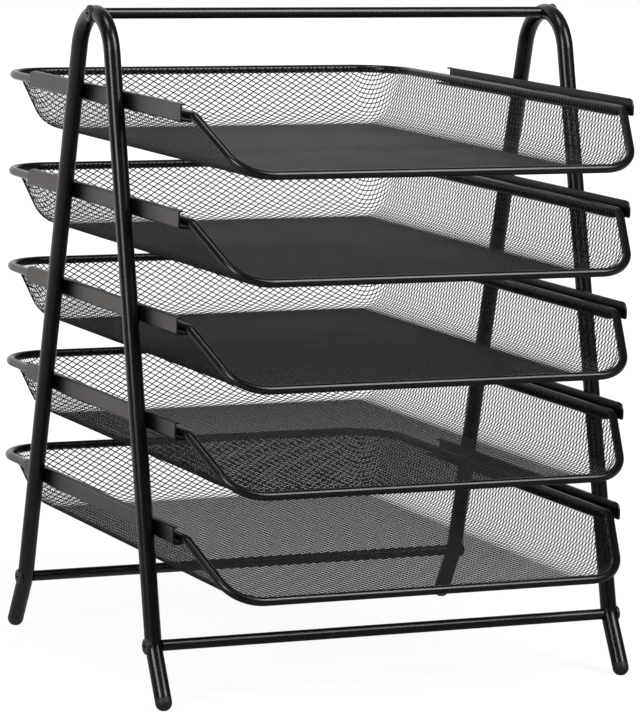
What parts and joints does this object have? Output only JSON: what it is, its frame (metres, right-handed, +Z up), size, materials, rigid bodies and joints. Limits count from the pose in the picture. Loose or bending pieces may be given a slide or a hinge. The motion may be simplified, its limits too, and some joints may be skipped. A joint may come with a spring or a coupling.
{
  "type": "paper tray tower",
  "caption": "Desk paper tray tower: sliding wire-rimmed mesh trays on pressed rails between two bent-tube A-shaped side frames with a carrying rod.",
  "frame": {"origin": "on the desk plane, under the middle of the object's box", "axes": "+X to the right seen from the front, +Y to the back, +Z up; the trays slide out along -Y"},
  "size_m": [0.297, 0.3554, 0.3815],
  "materials": {
    "frame_coat": "satin black powder coat",
    "rail_coat": "satin black powder coat",
    "rim_coat": "satin black powder coat",
    "mesh_coat": "satin black powder coat on expanded mesh",
    "screw_coat": "black oxide",
    "cap_plastic": "matte dark grey"
  },
  "bodies": {
    "frame": {"side_frame_left": "frame_coat", "side_frame_right": "frame_coat", "top_handle_rod": "frame_coat", "lower_front_rod": "frame_coat", "lower_rear_rod": "frame_coat", "foot_cap_front_left": "cap_plastic", "foot_cap_front_right": "cap_plastic", "foot_cap_rear_left": "cap_plastic", "foot_cap_rear_right": "cap_plastic", "frame_screws": "screw_coat", "rail_left_1": "rail_coat", "rail_right_1": "rail_coat", "rail_left_2": "rail_coat", "rail_right_2": "rail_coat", "rail_left_3": "rail_coat", "rail_right_3": "rail_coat", "rail_left_4": "rail_coat", "rail_right_4": "rail_coat", "rail_left_5": "rail_coat", "rail_right_5": "rail_coat"},
    "tray_1": {"tray_rim_1": "rim_coat", "tray_pan_1": "mesh_coat"},
    "tray_2": {"tray_rim_2": "rim_coat", "tray_pan_2": "mesh_coat"},
    "tray_3": {"tray_rim_3": "rim_coat", "tray_pan_3": "mesh_coat"},
    "tray_4": {"tray_rim_4": "rim_coat", "tray_pan_4": "mesh_coat"},
    "tray_5": {"tray_rim_5": "rim_coat", "tray_pan_5": "mesh_coat"}
  },
  "joints": [
    {"name": "tray_1_slide", "type": "slide", "parent": "frame", "child": "tray_1", "axis": [0, -1, 0], "range_m": [-0.0015, 0.13]},
    {"name": "tray_2_slide", "type": "slide", "parent": "frame", "child": "tray_2", "axis": [0, -1, 0], "range_m": [-0.0015, 0.13]},
    {"name": "tray_3_slide", "type": "slide", "parent": "frame", "child": "tray_3", "axis": [0, -1, 0], "range_m": [-0.0015, 0.13]},
    {"name": "tray_4_slide", "type": "slide", "parent": "frame", "child": "tray_4", "axis": [0, -1, 0], "range_m": [-0.0015, 0.13]},
    {"name": "tray_5_slide", "type": "slide", "parent": "frame", "child": "tray_5", "axis": [0, -1, 0], "range_m": [-0.0015, 0.13]}
  ]
}
